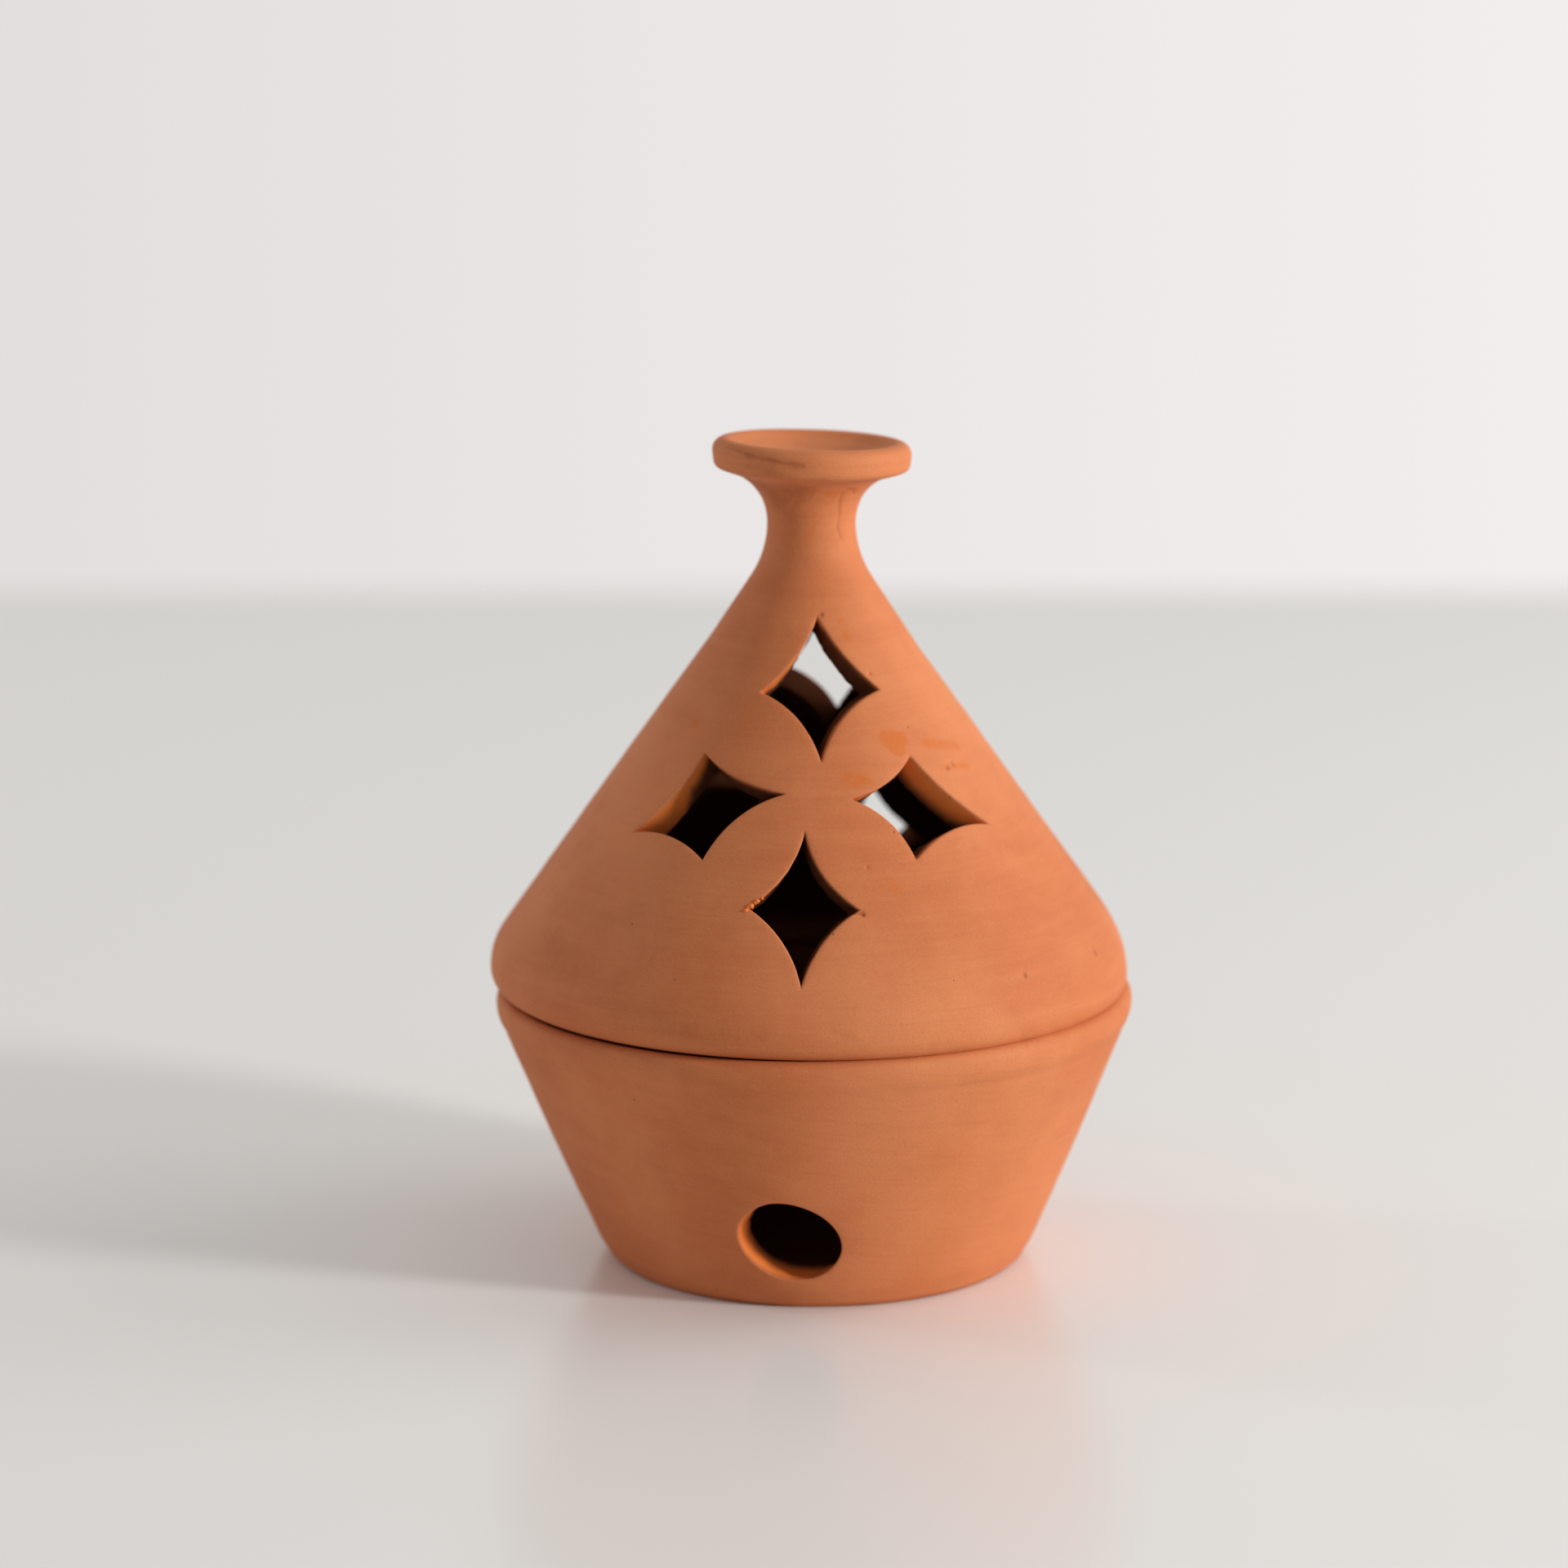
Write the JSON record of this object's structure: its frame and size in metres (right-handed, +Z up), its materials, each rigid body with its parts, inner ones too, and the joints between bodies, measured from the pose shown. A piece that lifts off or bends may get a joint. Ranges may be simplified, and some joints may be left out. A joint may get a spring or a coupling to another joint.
{
  "type": "tagine-shaped incense burner",
  "caption": "Small terracotta charcoal incense burner shaped like a tagine: a flared bowl with a draught hole and a lift-off conical lid with star-shaped openings and a dished knob.",
  "frame": {"origin": "centre of the bowl's flat underside, on the table", "axes": "+Z up along the bowl's axis, -Y towards the lid's best face and the draught hole, +X to the right seen from the front"},
  "size_m": [0.1015, 0.1006, 0.13],
  "materials": {
    "bowl_clay": "matt unglazed terracotta",
    "lid_clay": "matt unglazed terracotta"
  },
  "bodies": {
    "base": {"base_bowl": "bowl_clay"},
    "lid": {"conical_lid": "lid_clay"}
  },
  "joints": [
    {"name": "lid_lift", "type": "slide", "parent": "base", "child": "lid", "axis": [0, 0, 1], "range_m": [0, 0.1]}
  ]
}
